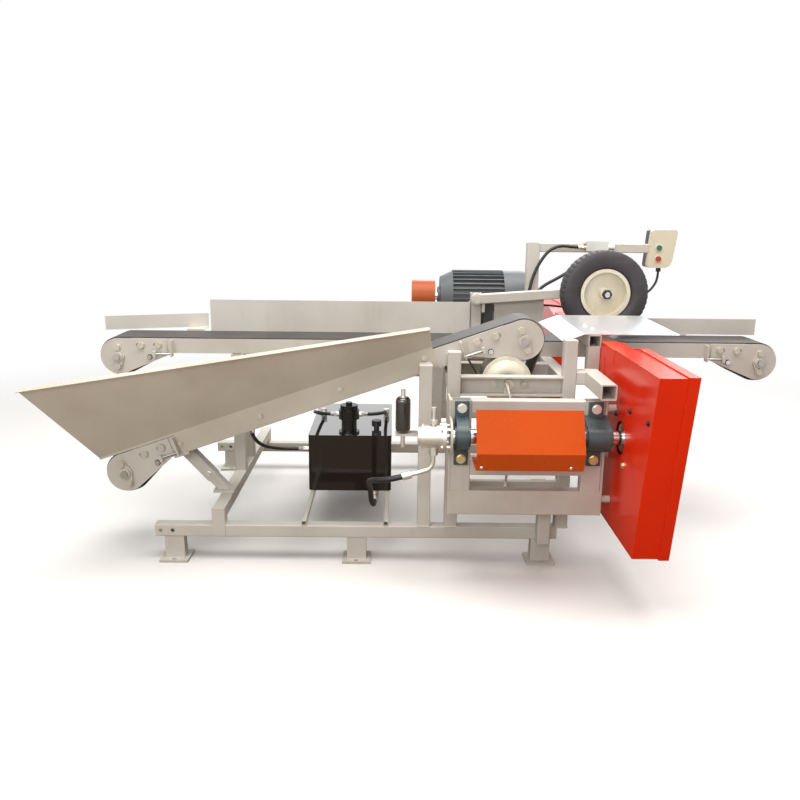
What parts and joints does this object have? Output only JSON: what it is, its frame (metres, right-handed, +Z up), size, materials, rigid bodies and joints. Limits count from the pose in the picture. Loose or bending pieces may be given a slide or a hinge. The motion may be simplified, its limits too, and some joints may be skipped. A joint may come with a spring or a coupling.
{
  "type": "horizontal band resaw",
  "caption": "Horizontal band resaw on a tube frame: belt feed under a level band blade, hold-down tyre, sloping return conveyor with trough wall, hydraulic tank and motor drive.",
  "frame": {"origin": "on the floor under the middle of the machine's overall length and width", "axes": "+X is the feed direction, +Y points to the rear (drive motor side), +Z is up"},
  "size_m": [3.1124, 2.3902, 1.315],
  "materials": {
    "frame_paint": "satin warm grey paint",
    "roller_steel": "worn steel",
    "belt_rubber": "dark grey belting",
    "zinc": "yellow zinc",
    "wheel_steel": "machined steel",
    "blade_steel": "bright band steel",
    "block_cast": "blue-grey cast housing",
    "case_red": "gloss red-orange paint",
    "guard_orange": "gloss orange paint",
    "pump_alloy": "cast alloy",
    "motor_grey": "grey paint",
    "bright_sheet": "bright sheet",
    "tank_black": "gloss black paint",
    "filter_black": "gloss black",
    "hose_rubber": "black hose",
    "tyre_rubber": "dark tyre",
    "rim_cream": "cream paint",
    "box_beige": "beige plastic",
    "button_green": "green",
    "button_red": "red"
  },
  "bodies": {
    "frame": {"base_frame": "frame_paint", "floor_feet": "frame_paint", "frame_posts": "frame_paint", "upper_tubes": "frame_paint", "receiver_tube": "frame_paint", "conveyor_rails": "frame_paint", "return_rails": "frame_paint", "slider_beds": "roller_steel", "feed_belt": "belt_rubber", "return_belt": "belt_rubber", "drum_channel": "frame_paint", "frame_bolts": "zinc", "fences": "frame_paint", "rubber_flap": "belt_rubber", "mast": "frame_paint", "control_box": "box_beige", "control_cable": "hose_rubber", "mast_hoses": "hose_rubber", "drive_motor": "motor_grey", "drive_frame": "frame_paint", "belt_guard": "guard_orange", "drive_belts": "belt_rubber", "rear_pillow_blocks": "block_cast", "rear_wheel_case": "case_red", "band_blade": "blade_steel", "blade_guides": "wheel_steel", "blade_tunnels": "case_red", "tension_guides": "frame_paint", "transfer_plate": "bright_sheet", "oil_tank": "tank_black", "return_filter": "filter_black", "accumulator": "filter_black", "pump_hose": "hose_rubber", "tank_hoses": "hose_rubber", "tension_line": "hose_rubber", "trough_wall": "frame_paint"},
    "carriage": {"carriage_frame": "frame_paint", "front_pillow_blocks": "block_cast", "shaft_guard": "guard_orange", "hydraulic_pump": "pump_alloy", "front_wheel_case": "case_red"},
    "front_wheel": {"front_band_wheel": "wheel_steel"},
    "rear_wheel": {"rear_band_wheel": "wheel_steel"},
    "rotor": {"motor_rotor": "wheel_steel"},
    "front_door": {"front_case_door": "case_red"},
    "rear_door": {"rear_case_door": "case_red"},
    "infeed_end": {"infeed_takeup": "frame_paint"},
    "infeed_drum": {"infeed_roller": "roller_steel"},
    "outfeed_end": {"outfeed_takeup": "frame_paint"},
    "outfeed_drum": {"outfeed_roller": "roller_steel"},
    "return_tail_end": {"return_tail_takeup": "frame_paint"},
    "return_tail_drum": {"return_tail_roller": "roller_steel"},
    "return_head_end": {"return_head_takeup": "frame_paint"},
    "return_head_drum": {"return_head_roller": "roller_steel"},
    "drum": {"drive_drum": "roller_steel"},
    "arm": {"hold_down_arm": "frame_paint"},
    "wheel": {"tyre": "tyre_rubber", "tyre_rim": "rim_cream"},
    "start": {"start_button": "button_green"},
    "stop": {"stop_button": "button_red"}
  },
  "joints": [
    {"name": "infeed_takeup_slide", "type": "slide", "parent": "frame", "child": "infeed_end", "axis": [1, 0, 0], "range_m": [0, 0.015]},
    {"name": "infeed_roller_spin", "type": "hinge", "parent": "infeed_end", "child": "infeed_drum", "pos_m": [-1.387, 0, 0.75], "axis": [0, 1, 0], "continuous": true},
    {"name": "outfeed_takeup_slide", "type": "slide", "parent": "frame", "child": "outfeed_end", "axis": [-1, 0, 0], "range_m": [0, 0.015]},
    {"name": "outfeed_roller_spin", "type": "hinge", "parent": "outfeed_end", "child": "outfeed_drum", "pos_m": [1.477, 0, 0.75], "axis": [0, 1, 0], "continuous": true},
    {"name": "return_tail_takeup_slide", "type": "slide", "parent": "frame", "child": "return_tail_end", "axis": [0.9436, 0, 0.3311], "range_m": [0, 0.015]},
    {"name": "return_tail_roller_spin", "type": "hinge", "parent": "return_tail_end", "child": "return_tail_drum", "pos_m": [-1.258, -0.395, 0.333], "axis": [0, 1, 0], "continuous": true},
    {"name": "return_head_takeup_slide", "type": "slide", "parent": "frame", "child": "return_head_end", "axis": [-0.9436, 0, -0.3311], "range_m": [0, 0.015]},
    {"name": "return_head_roller_spin", "type": "hinge", "parent": "return_head_end", "child": "return_head_drum", "pos_m": [0.358, -0.395, 0.9], "axis": [0, 1, 0], "continuous": true},
    {"name": "drum_spin", "type": "hinge", "parent": "frame", "child": "drum", "pos_m": [0.293, -0.395, 0.735], "axis": [0, 1, 0], "continuous": true},
    {"name": "tension_slide", "type": "slide", "parent": "frame", "child": "carriage", "axis": [0, 1, 0], "range_m": [0, 0.025], "deforming": ["pump_hose"]},
    {"name": "rear_wheel_spin", "type": "hinge", "parent": "frame", "child": "rear_wheel", "pos_m": [0.711, 0.81, 0.59], "axis": [1, 0, 0], "continuous": true},
    {"name": "front_wheel_spin", "type": "hinge", "parent": "carriage", "child": "front_wheel", "pos_m": [0.711, -0.81, 0.59], "axis": [1, 0, 0], "continuous": true},
    {"name": "motor_spin", "type": "hinge", "parent": "frame", "child": "rotor", "pos_m": [0.1, 0.71, 0.946], "axis": [1, 0, 0], "continuous": true},
    {"name": "front_door_hinge", "type": "hinge", "parent": "carriage", "child": "front_door", "pos_m": [0.769, -0.5178, 0.55], "axis": [0, 0, 1], "range_deg": [0, 110]},
    {"name": "rear_door_hinge", "type": "hinge", "parent": "frame", "child": "rear_door", "pos_m": [0.769, 0.5178, 0.55], "axis": [0, 0, -1], "range_deg": [0, 110]},
    {"name": "hold_down_pivot", "type": "hinge", "parent": "frame", "child": "arm", "pos_m": [0.225, 0.098, 0.997], "axis": [0, -1, 0], "range_deg": [0, 25]},
    {"name": "hold_down_spin", "type": "hinge", "parent": "arm", "child": "wheel", "pos_m": [0.789, 0, 1.04], "axis": [0, 1, 0], "continuous": true},
    {"name": "start_press", "type": "slide", "parent": "frame", "child": "start", "axis": [0, 1, 0], "range_m": [0, 0.004], "stiffness_N_per_m": 400},
    {"name": "stop_press", "type": "slide", "parent": "frame", "child": "stop", "axis": [0, 1, 0], "range_m": [0, 0.004], "stiffness_N_per_m": 400}
  ],
  "couplings": [
    {"joint": "infeed_roller_spin", "follows": "outfeed_roller_spin", "ratio": 1},
    {"joint": "return_tail_roller_spin", "follows": "drum_spin", "ratio": 1.0727},
    {"joint": "return_head_roller_spin", "follows": "drum_spin", "ratio": 1.0727},
    {"joint": "front_wheel_spin", "follows": "rear_wheel_spin", "ratio": 1},
    {"joint": "motor_spin", "follows": "rear_wheel_spin", "ratio": 1.4}
  ]
}
